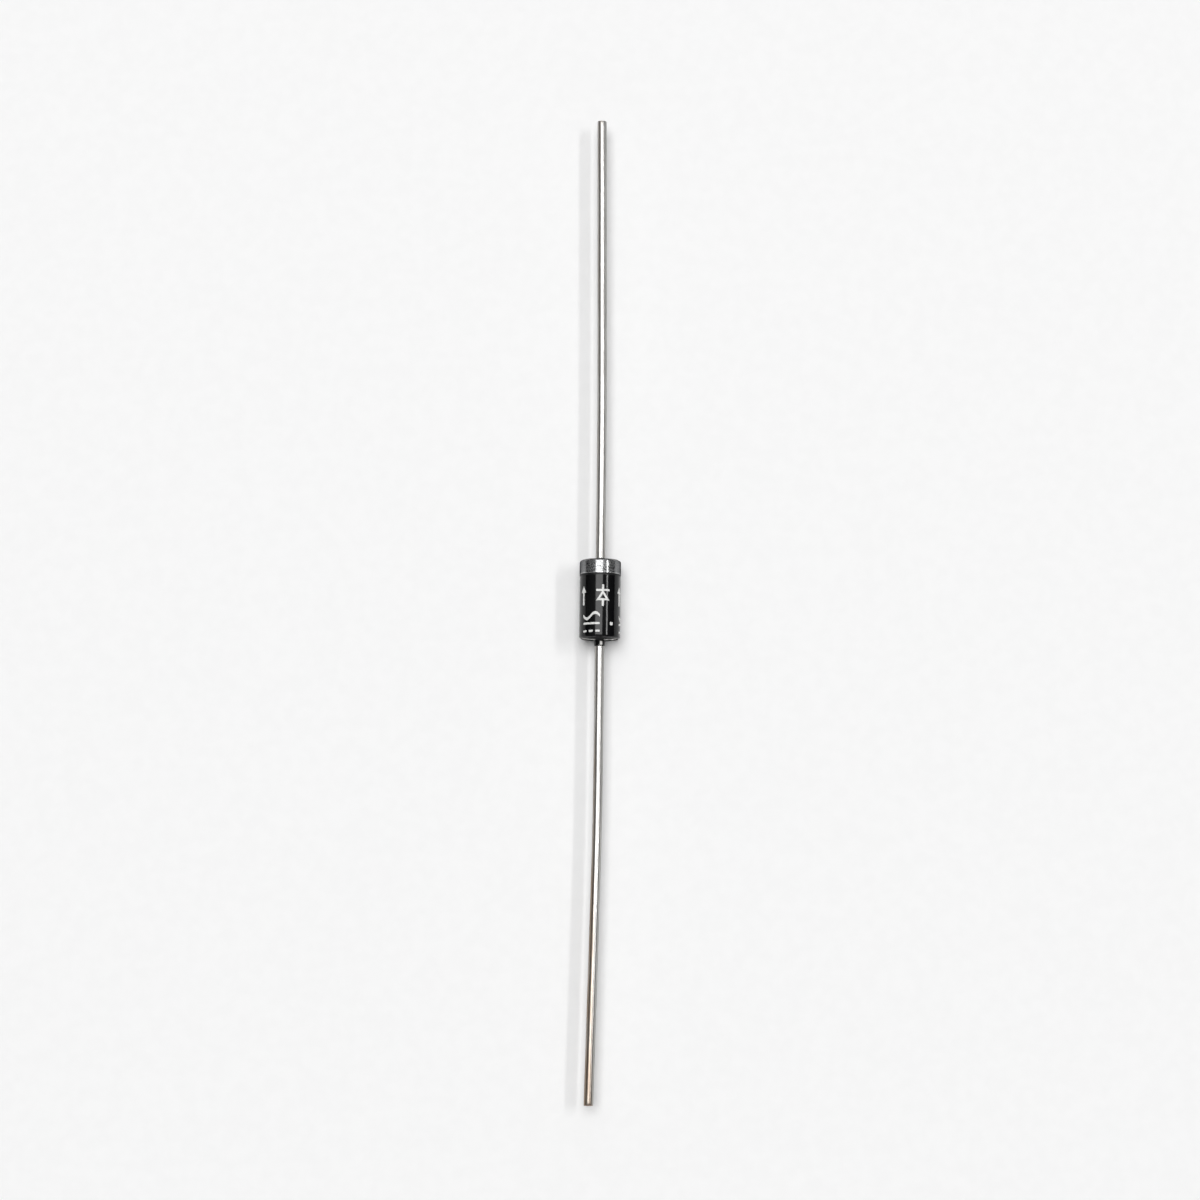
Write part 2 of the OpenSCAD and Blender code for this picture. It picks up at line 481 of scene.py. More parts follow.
@dataclass(frozen=True)
class MouldedEpoxy:
    """Glossy black moulding resin with faint flow streaks and fine filler grains, plus a painted highlight
    and glint.

    A pair of places says where a change starts and ends, in millimetres from the body's middle.

    Attributes:
        black: Colour of the resin.
        flow: Colour of the flow streaks.
        painted_highlight: Colour of the painted highlight on the end-face flash and of the painted glint on
            the anode's neck.
        grain: Filler grains in a millimetre.
        pores: Pores in a millimetre.
        relief: Depth of the grains and pores.
        end_face: Where the matt end faces start.
        neck: Where the gloss comes back on the necks.
        end_dull: Roughness that the end faces add.
        veil: Where a thin dull veil starts below the ring.
        veil_dull: Roughness that the veil adds.
        flash_face: Where the flash starts along the axis.
        flash_half: Half its width.
        flash_root: Where it starts to either side of the neck.
        glint_place: Middle of the painted glint on the anode's neck, across and along the axis.
        glint_half: Half the painted glint's width.
        glint_reach: Half the painted glint's length.
    """

    black: Colour = (0.0025, 0.0025, 0.003)
    flow: Colour = (0.006, 0.006, 0.0062)
    painted_highlight: Colour = (0.86, 0.85, 0.82)
    grain: float = 40.0
    pores: float = 16.0
    relief: float = 0.0003
    end_face: Span = (2.37, 2.38)
    neck: Span = (2.43, 2.46)
    end_dull: float = 0.8
    veil: Span = (1.36, 1.4)
    veil_dull: float = 0.35
    flash_face: Span = (2.37, 2.385)
    flash_half: Span = (0.026, 0.034)
    flash_root: Span = (0.2, 0.26)
    glint_place: Point = (0.09, -2.63)
    glint_half: Span = (0.06, 0.085)
    glint_reach: Span = (0.09, 0.125)

    def material(self) -> bpy.types.Material:
        """Builds the finish.

        Returns:
            The material.
        """
        work = Shading("moulded_epoxy", IOR=1.36)
        x, y, z = work.split(work.place)
        away = work.math("ABSOLUTE", y)
        matt = work.math("SUBTRACT", work.ramp(away, self.end_face), work.ramp(away, self.neck))
        streak = work.noise(work.mapped(900.0, 260.0), 1.6, 3.0)
        grain = work.noise(work.place, self.grain, 1.0)
        pit = work.ramp(work.cells(self.pores).outputs["Distance"], (0.0, 0.16))
        colour = work.blend(work.ramp(streak, (0.4, 0.7)), self.black, self.flow)
        # Pale colour on the flash and on a spot of the anode's neck: a painted highlight and a painted
        # glint.
        painted_highlight_share = work.math("MAXIMUM", self.flash(work, x, y, z), self.neck_glint(work, x, y, z))
        colour = work.blend(painted_highlight_share, colour, self.painted_highlight)
        gloss = work.ramp(streak, (0.35, 0.7), (0.1, 0.16))
        veil = work.ramp(y, self.veil, (0.0, self.veil_dull))
        dull = work.math("MAXIMUM", work.product(matt, self.end_dull), veil)
        height = work.total(work.product(grain, 0.3), work.product(pit, 0.4))
        return work.finish(colour, work.total(gloss, dull), height, self.relief)

    def flash(self, work: Shading, x: Socket, y: Socket, z: Socket) -> Socket:
        """Finds the thin flash that the mould left across the end faces, which takes a painted highlight.

        Args:
            work: The material's tree.
            x: Place across the axis.
            y: Place along the axis.
            z: Height.

        Returns:
            1 on the flash and 0 elsewhere.
        """
        beyond = work.ramp(work.math("ABSOLUTE", y), self.flash_face)
        level = work.within(z, FLASH_LEVEL, self.flash_half)
        aside = work.ramp(work.math("ABSOLUTE", x), self.flash_root)
        broken = work.ramp(work.noise(work.place, 3.1, 4.0), (0.4, 0.55), (0.6, 1.0))
        return work.product(beyond, level, aside, broken)

    def neck_glint(self, work: Shading, x: Socket, y: Socket, z: Socket) -> Socket:
        """Finds the spot on the anode's neck that is coloured pale as a painted glint.

        Args:
            work: The material's tree.
            x: Place across the axis.
            y: Place along the axis.
            z: Height.

        Returns:
            1 on the painted glint and 0 elsewhere.
        """
        across = work.within(x, self.glint_place[0], self.glint_half)
        lengthwise = work.within(y, self.glint_place[1], self.glint_reach)
        return work.product(across, lengthwise, work.math("GREATER_THAN", z, 0.0))


@dataclass(frozen=True)
class SilverBandInk:
    """Silver ring ink: aluminium flakes in a clear binder, faint roller streaks, a painted highlight at the
    lower edge.

    Attributes:
        dark: Colour of the darkest flakes.
        light: Colour of the lightest flakes.
        edge_highlight: Colour of the painted highlight along the lower edge.
        edge: Tint of the reflection at the steepest glance.
        flakes: Flakes in a millimetre.
        edge_highlight_span: Where the painted highlight along the lower edge thins out and ends, in
            millimetres from the body's middle.
        relief: Depth of the flakes and streaks in millimetres.
    """

    dark: Colour = (0.2, 0.202, 0.205)
    light: Colour = (0.33, 0.332, 0.336)
    edge_highlight: Colour = (0.6, 0.6, 0.605)
    edge: Colour = (0.08, 0.08, 0.083)
    flakes: float = 34.0
    edge_highlight_span: Span = (1.53, 1.58)
    relief: float = 0.0008

    def material(self) -> bpy.types.Material:
        """Builds the finish.

        Returns:
            The material.
        """
        work = Shading("silver_band_ink", Metallic=1.0, Specular_Tint=(*self.edge, 1.0))
        tone, tilt, _ = work.split(work.cells(self.flakes).outputs["Color"])
        streak = work.noise(work.mapped(300.0, 6000.0), 3.0, 3.0)
        mixed = work.total(work.product(tone, 0.6), work.product(streak, 0.5))
        colour = work.blend(work.ramp(mixed, (0.25, 0.85)), self.dark, self.light)
        _, along, _ = work.split(work.place)
        # Lighter colour along the ring's lower edge: a painted highlight.
        colour = work.blend(work.ramp(along, self.edge_highlight_span, (0.7, 0.0)), colour, self.edge_highlight)
        return work.finish(colour, work.ramp(tilt, (0.4, 0.9), (0.11, 0.65)), mixed, self.relief)


@dataclass(frozen=True)
class WhiteMarkInk:
    """Opaque white stamping ink that thins a little in places.

    Attributes:
        thin: Colour where the ink is thin.
        full: Colour where it covers fully.
        relief: Depth of its surface in millimetres.
    """

    thin: Colour = (0.5, 0.5, 0.49)
    full: Colour = (0.8, 0.8, 0.785)
    relief: float = 0.003

    def material(self) -> bpy.types.Material:
        """Builds the finish.

        Returns:
            The material.
        """
        work = Shading("white_mark_ink")
        cover = work.noise(work.place, 7.0, 4.0)
        speck = work.noise(work.place, 48.0, 2.0)
        mixed = work.total(work.product(cover, 0.7), work.product(speck, 0.3))
        colour = work.blend(work.ramp(mixed, (0.36, 0.5)), self.thin, self.full)
        return work.finish(colour, work.ramp(speck, (0.3, 0.7), (0.38, 0.58)), mixed, self.relief)


@dataclass(frozen=True)
class TinnedWire:
    """Tin plating over drawn copper: fine draw lines, dull patches, and brown stains on the -X side, partly
    painted shade.

    Attributes:
        bright: Colour of the clean tin.
        dull: Colour where the tin has dulled.
        stain_and_shade: Colour of the stains where copper tints the tin, which also paint shade on the -X
            side.
        core: Colour of the copper at the cut tips.
        edge: Tint of the reflection at the steepest glance.
        stain_and_shade_side: Where the stains and their painted shade fade out across the wire, in
            millimetres.
        stain_reach: Where they fade along it, in millimetres from the body's middle.
        tip: Distance from the body's middle where the cut copper shows, in millimetres.
        tip_slope: How much nearer and further that is at the wire's lowest and highest points.
        radius: The wire's radius in millimetres.
        relief: Depth of the draw lines in millimetres.
    """

    bright: Colour = (0.6, 0.594, 0.572)
    dull: Colour = (0.47, 0.462, 0.445)
    stain_and_shade: Colour = (0.36, 0.27, 0.2)
    core: Colour = (0.6, 0.36, 0.25)
    edge: Colour = (0.08, 0.08, 0.08)
    stain_and_shade_side: Span = (-0.24, -0.08)
    stain_reach: Span = (-8.0, -3.5)
    tip: Span = (29.8, 29.808)
    tip_slope: Span = (0.05, -0.01)
    radius: float = 0.275
    relief: float = 0.00025

    def material(self) -> bpy.types.Material:
        """Builds the finish.

        Returns:
            The material.
        """
        work = Shading("tinned_wire", Metallic=1.0, Specular_Tint=(*self.edge, 1.0))
        lines = work.noise(work.mapped(1000.0, 12.0), 26.0, 4.0)
        patch = work.noise(work.mapped(1000.0, 260.0), 1.3, 3.0)
        stain = work.noise(work.mapped(900.0, 160.0), 1.1, 3.0)
        x, y, z = work.split(work.place)
        # The brown stain is kept to the wire's -X side: partly a real tint, partly painted shade on that
        # side.
        side = work.ramp(x, self.stain_and_shade_side, (1.0, 0.0))
        below = work.ramp(y, self.stain_reach, (1.0, 0.25))
        colour = work.blend(work.ramp(patch, (0.42, 0.68), (0.0, 0.8)), self.bright, self.dull)
        stain_and_shade_share = work.product(work.ramp(stain, (0.34, 0.52)), side, below, 0.85)
        colour = work.blend(stain_and_shade_share, colour, self.stain_and_shade)
        slope = work.ramp(z, (-self.radius, self.radius), self.tip_slope)
        ahead = work.math("SUBTRACT", work.math("ABSOLUTE", y), slope)
        colour = work.blend(work.ramp(ahead, self.tip, (0.0, 0.85)), colour, self.core)
        rough = work.ramp(patch, (0.4, 0.7), (0.3, 0.4))
        height = work.total(work.product(lines, 0.8), work.product(patch, 0.4))
        return work.finish(colour, rough, height, self.relief)


@dataclass(frozen=True)
class PlainGrain:
    """A finish of two tones with a fine grain, for the small parts inside the resin.

    Attributes:
        name: The material's name.
        low: Colour of the darker tone.
        high: Colour of the lighter tone.
        grain: Grains in a millimetre.
        smooth: Roughness of the smoothest and the roughest places.
        relief: Depth of the grain in millimetres.
        metal: Share of metal in the surface.
        milk: Share of light that goes into the surface and comes out near by.
    """

    name: str
    low: Colour
    high: Colour
    grain: float
    smooth: Span
    relief: float
    metal: float = 0.0
    milk: float = 0.0

    def material(self) -> bpy.types.Material:
        """Builds the finish.

        Returns:
            The material.
        """
        work = Shading(self.name, Metallic=self.metal, Subsurface_Weight=self.milk)
        work.shader.inputs["Subsurface Scale"].default_value = 0.3 * MM
        grain = work.noise(work.place, self.grain, 4.0)
        colour = work.blend(work.ramp(grain, (0.35, 0.65)), self.low, self.high)
        return work.finish(colour, work.ramp(grain, (0.35, 0.65), self.smooth), grain, self.relief)


@dataclass(frozen=True)
class PaperFloor:
    """Matt white paper.

    Attributes:
        white: Colour of the paper.
        fibre: Colour of its fibres.
        relief: Depth of the fibres in millimetres.
    """

    white: Colour = (0.925, 0.925, 0.925)
    fibre: Colour = (0.94, 0.94, 0.94)
    relief: float = 0.002

    def material(self) -> bpy.types.Material:
        """Builds the finish.

        Returns:
            The material.
        """
        work = Shading("paper_floor", Specular_IOR_Level=0.1)
        fibre = work.noise(work.place, 1.3, 4.0)
        colour = work.blend(work.ramp(fibre, (0.35, 0.65)), self.white, self.fibre)
        return work.finish(colour, work.ramp(fibre, (0.3, 0.7), (0.85, 0.95)), fibre, self.relief)


# ---------------------------------------------------------------- forms


def arc(centre: Point, radius: float, start: float, end: float, steps: int) -> Flat:
    """Returns the points of an arc.

    Args:
        centre: The arc's centre.
        radius: The arc's radius.
        start: The first point's angle in degrees.
        end: The last point's angle in degrees.
        steps: The number of steps between them.

    Returns:
        The points in order.
    """
    points = []
    for step in range(steps + 1):
        angle = math.radians(start + (end - start) * step / steps)
        points.append((centre[0] + radius * math.cos(angle), centre[1] + radius * math.sin(angle)))
    return points


def section_mesh(points: Flat) -> bpy.types.Mesh:
    """Makes the starting mesh of a turned form.

    Args:
        points: The half section in millimetres, as pairs of radius and place along the axis.

    Returns:
        The mesh, one line of points.
    """
    mesh = bpy.data.meshes.new("section")
    edges = [(i, i + 1) for i in range(len(points) - 1)]
    mesh.from_pydata([(r * MM, y * MM, 0.0) for r, y in points], edges, [])
    return mesh


def spaced(points: Flat, pitch: float) -> Flat:
    """Adds points to a section so that no step is longer than the pitch.

    Args:
        points: The section.
        pitch: The longest step.

    Returns:
        The section with the added points.
    """
    out = [points[0]]
    for start, end in itertools.pairwise(points):
        count = max(1, math.ceil(math.dist(start, end) / pitch))
        for i in range(1, count + 1):
            share = i / count
            out.append(tuple(a + (b - a) * share for a, b in zip(start, end)))
    return out


def closed_ring(half: Flat, other: Flat) -> Flat:
    """Joins two half skins into one closed section.

    Args:
        half: The half on the cathode's side, from the outside's middle to the inside's middle.
        other: The other half, given in the same way and turned over here.

    Returns:
        The section, from the outside's middle round both ends and back.
    """
    return [*half, *[(r, -y) for r, y in reversed(other)][1:]]


def settle(piece: bpy.types.Object) -> None:
    """Merges seams, points every face outwards and smooths all but the sharp edges.

    Args:
        piece: The piece to finish.
    """
    work = bmesh.new()
    work.from_mesh(piece.data)
    bmesh.ops.remove_doubles(work, verts=work.verts, dist=SEAM_REACH)
    bmesh.ops.dissolve_degenerate(work, dist=1e-9, edges=work.edges)
    bmesh.ops.recalc_face_normals(work, faces=work.faces)
    for face in work.faces:
        face.smooth = True
    for edge in work.edges:
        edge.smooth = edge.is_manifold and edge.calc_face_angle(0.0) < SHARP_ANGLE
    work.to_mesh(piece.data)
    work.free()


def place(piece: bpy.types.Object, node: str, slot: str) -> None:
    """Makes a piece ride on the body and stand for its solid.

    Args:
        piece: The finished piece.
        node: The solid's name in the frame.
        slot: A material slot's name, which is not used.
    """
    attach(piece, BODY)
    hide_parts(node)
    LOG.info("%s stands for %s, %d faces", piece.name, node, len(piece.data.polygons))


@dataclass
class TurnedPiece:
    """A piece that is a half section turned round the wire axis.

    Attributes:
        tree: The tree that turns it.
        segments: Faces round the axis.
    """

    tree: TurnedTree
    segments: int = 96

    def turn(self, name: str, points: Flat, finish: object, **more: float) -> bpy.types.Object:
        """Turns a section that runs so that its outside is on the left of its path.

        Args:
            name: The finished piece's name.
            points: The half section in millimetres.
            finish: What builds the material.
            more: Other inputs of the tree.

        Returns:
            The finished piece.
        """
        inputs = {"Ripple_Height": 0.0, "Ripple_Scale": 1.0, "Ripple_Stretch": 1.0, "Seed": 0.0}
        inputs |= {"Bend_Place": 1.0, "Bend_Length": MM, "Lean": 0.0} | more
        piece = self.tree.apply(
            name, section_mesh(points), Segments=self.segments, Material=finish.material(), **inputs
        )
        settle(piece)
        return piece


# ---------------------------------------------------------------- the part's pieces


@dataclass
class Wire:
    """Sizes of a lead that other pieces share, in millimetres.

    Attributes:
        radius: The wire's radius.
        head_face: Distance of the nail head's face from the body's middle.
        head_radius: The nail head's radius.
        head_back: Distance of the nail head's back from the body's middle.
        head_cone: Length of the cone behind the head.
        head_soft: Rounding of the head's rim.
        lock_radius: Radius of the locking bulge.
        lock_half: Half the bulge's length.
        lock_middle: Distance of the bulge's middle from the body's middle.
    """

    radius: float = 0.275
    head_face: float = 0.18
    head_radius: float = 0.6
    head_back: float = 0.48
    head_cone: float = 0.14
    head_soft: float = 0.03
    lock_radius: float = 0.4
    lock_half: float = 0.18
    lock_middle: float = 1.755

    def buried(self) -> Flat:
        """Draws the lead's buried end.

        Returns:
            The half section from the head's face outwards.
        """
        soft = self.head_soft
        return [
            (0.0, self.head_face),
            *arc((self.head_radius - soft, self.head_face + soft), soft, -90, 0, 4),
            *arc((self.head_radius - soft, self.head_back - soft), soft, 0, 90, 4),
            (self.radius, self.head_back + self.head_cone),
            (self.radius, self.lock_middle - self.lock_half),
            (self.lock_radius, self.lock_middle),
            (self.radius, self.lock_middle + self.lock_half),
        ]


@dataclass
class MouldedBody(TurnedPiece):
    """The black cylinder with a resin neck round each lead, moulded round the inside parts.

    Attributes:
        radius: The cylinder's radius.
        half: Half its length.
        edge_r: Rounding of its two rims.
        end_rise: How far an end face rises from its rim to the neck.
        cathode_neck: Length of the neck at the cathode.
        anode_neck: Length of the neck at the anode.
        neck_root: A neck's radius at its root.
        neck_tip: A neck's radius at its tip.
        neck_lip: Rounding of a neck's lip.
        neck_foot: Largest rounding where a neck leaves the end face.
        bead_radius: Radius of the space for the silicone bead.
        bead_half: Half the length of that space.
        bead_soft: Rounding of that space.
        part_line: Height of the line where the mould's halves met.
        part_half: Half that line's width.
        flash_rise: Rough height of the flash on the end faces.
        flash_root: How deep the flash goes into an end face.
        flash_thick: Thickness of the flash.
        flash_start: Where the flash starts beside a neck.
        flash_stop: Where it stops near the rim.
        flash_steps: Steps along the flash.
        flash_waves: Waves of its ragged crest in a millimetre.
        ripple: Height of the moulded surface's ripple.
        ripple_wave: Length of the ripple's waves.
        segments: Faces round the axis.
    """

    radius: float = 1.225
    half: float = 2.375
    edge_r: float = 0.16
    end_rise: float = 0.05
    cathode_neck: float = 0.1
    anode_neck: float = 0.38
    neck_root: float = 0.375
    neck_tip: float = 0.305
    neck_lip: float = 0.025
    neck_foot: float = 0.09
    bead_radius: float = 0.87
    bead_half: float = 0.38
    bead_soft: float = 0.22
    part_line: float = 0.006
    part_half: float = 0.03
    flash_rise: float = 0.075
    flash_root: float = 0.03
    flash_thick: float = 0.04
    flash_start: float = 0.24
    flash_stop: float = 1.07
    flash_steps: int = 40
    flash_waves: float = 6.0
    ripple: float = 0.012
    ripple_wave: float = 1.3
    segments: int = 288

    def outer_half(self, neck_len: float) -> Flat:
        """Draws the outside of one end.

        Args:
            neck_len: The neck's length.

        Returns:
            The half section from the middle of the side to the end of the neck.
        """
        rim = arc((self.radius - self.edge_r, self.half - self.edge_r), self.edge_r, 0, 90, 14)
        base = self.half + self.end_rise
        tip = base + neck_len
        fillet = min(self.neck_foot, neck_len * 0.7)
        foot = arc((self.neck_root + fillet, base + fillet * 0.95), fillet, 270, 190, 7)
        lip = arc((self.neck_tip - self.neck_lip, tip - self.neck_lip), self.neck_lip, 10, 90, 5)
        waist = [((self.neck_root + 2 * self.neck_tip) / 3, base + neck_len * 0.5)]
        long_neck = neck_len > 2 * self.neck_foot
        return [(self.radius, 0.0), *rim, *foot, *(waist if long_neck else []), *lip]

    def inner_half(self, wire: Wire, neck_len: float) -> Flat:
        """Draws the space inside one end, which the lead and the bead fill.

        Args:
            wire: The lead's sizes.
            neck_len: The neck's length.

        Returns:
            The half section from the space's middle to the neck's mouth.
        """
        soft = self.bead_soft
        shoulder = arc((self.bead_radius - soft, self.bead_half - soft), soft, 0, 90, 8)
        buried = [point for point in wire.buried() if point[1] > self.bead_half + 1e-6]
        mouth = (wire.radius, self.half + self.end_rise + neck_len)
        return [(self.bead_radius, 0.0), *shoulder, (wire.head_radius, self.bead_half), *buried, mouth]

    def half_skin(self, wire: Wire, neck_len: float) -> Flat:
        """Returns one end's half section, from the side's middle round to the space's middle."""
        return [*self.outer_half(neck_len), *reversed(self.inner_half(wire, neck_len))]

    def build(self, wire: Wire) -> bpy.types.Object:
        """Builds the body as a closed skin: outside, necks and the space inside.

        Args:
            wire: The leads' sizes.

        Returns:
            The finished piece.
        """
        ring = closed_ring(self.half_skin(wire, self.cathode_neck), self.half_skin(wire, self.anode_neck))
        piece = self.turn(
            "moulded_body",
            spaced(ring, 0.12),
            MouldedEpoxy(),
            Ripple_Height=self.ripple * MM,
            Ripple_Scale=1 / (self.ripple_wave * MM),
            Ripple_Stretch=0.8,
        )
        self.add_part_line(piece)
        self.add_flash(piece)
        return piece

    def end_face(self, reach: float) -> float:
        """Tells where an end face stands.

        Args:
            reach: Distance from the wire axis.

        Returns:
            The face's distance from the body's middle there.
        """
        flat = self.radius - self.edge_r
        if reach > flat:
            return self.half - self.edge_r + math.sqrt(max(0.0, self.edge_r**2 - (reach - flat) ** 2))
        return self.half + self.end_rise * min(1.0, (flat - reach) / (flat - self.neck_root))

    def flash_outline(self, share: float, side: int, end: End) -> list[tuple[float, float, float]]:
        """Draws the flash's outline at one place along it.

        Args:
            share: The place, from 0 beside the neck to 1 near the rim.
            side: 1 towards +X and -1 towards -X.
            end: The end of the body.

        Returns:
            Four points in metres, round the flash from its root.
        """
        x = self.flash_start + (self.flash_stop - self.flash_start) * share
        face = self.end_face(math.hypot(x, FLASH_LEVEL))
        ragged = 0.8 + 0.5 * noise.noise(Vector((x * self.flash_waves, side * 3.0, end.value * 5.0)))
        crest = face + self.flash_rise * math.sqrt(max(0.0, math.sin(math.pi * share))) * ragged
        root = face - self.flash_root
        wide, narrow = self.flash_thick / 2, self.flash_thick / 5
        outline = [(root, wide), (crest, narrow), (crest, -narrow), (root, -wide)]
        return [(side * x * MM, end.value * y * MM, (FLASH_LEVEL + z) * MM) for y, z in outline]

    def add_flash(self, piece: bpy.types.Object) -> None:
        """Adds the broken flash of the mould across both end faces, on either side of the necks.

        Args:
            piece: The body.
        """
        work = bmesh.new()
        work.from_mesh(piece.data)
        for end, side in itertools.product(End, (-1, 1)):
            rows = []
            for step in range(self.flash_steps + 1):
                outline = self.flash_outline(step / self.flash_steps, side, end)
                rows.append([work.verts.new(point) for point in outline])
            faces = [work.faces.new(rows[0]), work.faces.new(rows[-1])]
            for row, after in itertools.pairwise(rows):
                for i in range(len(row)):
                    j = (i + 1) % len(row)
                    faces.append(work.faces.new((row[i], row[j], after[j], after[i])))
            bmesh.ops.recalc_face_normals(work, faces=faces)
        work.to_mesh(piece.data)
        work.free()

    def add_part_line(self, piece: bpy.types.Object) -> None:
        """Raises the fine line where the mould's halves met, along both sides of the cylinder.

        Args:
            piece: The body.
        """
        for vertex in piece.data.vertices:
            x, _, z = vertex.co
            if math.hypot(x, z) < (self.radius - self.edge_r) * MM or abs(x) < 0.5 * MM:
                continue
            rise = max(0.0, 1.0 - abs(z) / (self.part_half * MM)) * self.part_line * MM
            vertex.co.x = x + math.copysign(rise, x)


@dataclass
class CathodeBand(TurnedPiece):
    """The silver ring printed round the cathode end.

    Attributes:
        radius: The body's radius.
        ink: Thickness of the ink.
        bed: How deep the ink goes into the body.
        foot: Place of its lower edge along the axis.
        top: Place of its upper edge, on the body's rounded rim.
        edge_r: Rounding of the body's rim.
        half: Half the body's length.
        uneven: How far the lower edge wanders.
        edge_zone: Width of the strip that wanders.
        waves: The wander's waves in a metre.
        segments: Faces round the axis.
    """

    radius: float = 1.225
    ink: float = 0.0195
    bed: float = 0.004
    foot: float = 1.505
    top: float = 2.315
    edge_r: float = 0.16
    half: float = 2.375
    uneven: float = 0.009
    edge_zone: float = 0.03
    waves: float = 2600.0
    segments: int = 240

    def build(self) -> bpy.types.Object:
        """Builds the ring, a little uneven along its lower edge.

        Returns:
            The finished piece.
        """
        centre = (self.radius - self.edge_r, self.half - self.edge_r)
        turn = math.degrees(math.asin((self.top - centre[1]) / (self.edge_r + self.ink)))
        side = self.radius + self.ink
        soft = 0.35 * self.ink
        ring = [
            (self.radius - self.bed, self.foot),
            (side - soft, self.foot),
            (side, self.foot + soft),
            *arc(centre, self.edge_r + self.ink, 0, turn, 8),
            *arc(centre, self.edge_r - self.bed, turn, 0, 8),
            (self.radius - self.bed, self.foot),
        ]
        piece = self.turn("cathode_ring", spaced(ring, 0.05), SilverBandInk())
        for vertex in piece.data.vertices:
            if vertex.co.y < (self.foot + self.edge_zone) * MM:
                wave = noise.noise(Vector((vertex.co.x, 0.0, vertex.co.z)) * self.waves)
                vertex.co.y += wave * self.uneven * MM
        return piece


@dataclass
class WireLead(TurnedPiece):
    """A tinned lead: nail head and bulge in the resin, then the wire with its slight bend.

    Attributes:
        end: The end of the body that it leaves.
        run: Length from the body to the middle of the bend.
        lean: How far the wire leans past the bend, as a slope towards -X.
        half: Half the body's length.
        length: The lead's length outside the body.
        tip_break: Rounding of the tip's edge.
        shear: How far the cut slopes across the tip.
        cut_reach: Length of wire that the cut has pressed.
        cut_short: How much the cut shortens the wire.
        cut_press: Share of its thickness that the tip loses.
        bend_reach: Length over which the wire bends.
        ripple: Height of the drawn surface's ripple.
        ripple_wave: Length of the ripple's waves across the wire.
        segments: Faces round the axis.
    """

    end: End = End.CATHODE
    run: float = 9.0
    lean: float = 0.011
    half: float = 2.375
    length: float = 27.5
    tip_break: float = 0.04
    shear: float = 0.06
    cut_reach: float = 0.25
    cut_short: float = 0.004
    cut_press: float = 0.07
    bend_reach: float = 7.0
    ripple: float = 0.003
    ripple_wave: float = 0.8
    segments: int = 40

    def build(self, wire: Wire) -> bpy.types.Object:
        """Builds the lead from its head to its sheared tip.

        Args:
            wire: The lead's shared sizes.

        Returns:
            The finished piece.
        """
        free = (self.length - self.run) * math.cos(math.asin(self.lean))
        tip = self.half + self.run + free
        burr = arc((wire.radius - self.tip_break, tip - self.tip_break), self.tip_break, 0, 90, 5)
        path = spaced([*wire.buried(), *burr, (wire.radius * 0.5, tip), (0.0, tip)], 0.09)
        sign = self.end.value
        piece = self.turn(
            f"{self.end.name.lower()}_wire",
            [(r, y * sign) for r, y in path],
            TinnedWire(),
            Ripple_Height=self.ripple * MM,
            Ripple_Scale=1 / (self.ripple_wave * MM),
            Ripple_Stretch=0.25,
            Seed=0.02 * sign,
            Bend_Place=(self.half + self.run) * MM,
            Bend_Length=self.bend_reach * MM,
            Lean=self.lean,
        )
        self.cut(piece, wire, tip)
        return piece

    def cut(self, piece: bpy.types.Object, wire: Wire, tip: float) -> None:
        """Slopes the tip as a shear leaves it, and presses it a little flat.

        Args:
            piece: The lead.
            wire: The wire's sizes.
            tip: The tip's distance from the body's middle in millimetres.
        """
        for vertex in piece.data.vertices:
            near = 1.0 - (tip - abs(vertex.co.y) / MM) / self.cut_reach
            if near <= 0.0:
                continue
            height = vertex.co.z / (wire.radius * MM)
            drop = self.shear * (0.5 + 0.5 * height) * near * MM
            vertex.co.y -= math.copysign(drop + self.cut_short * near * MM, vertex.co.y)
            vertex.co.z *= 1.0 - self.cut_press * near * near


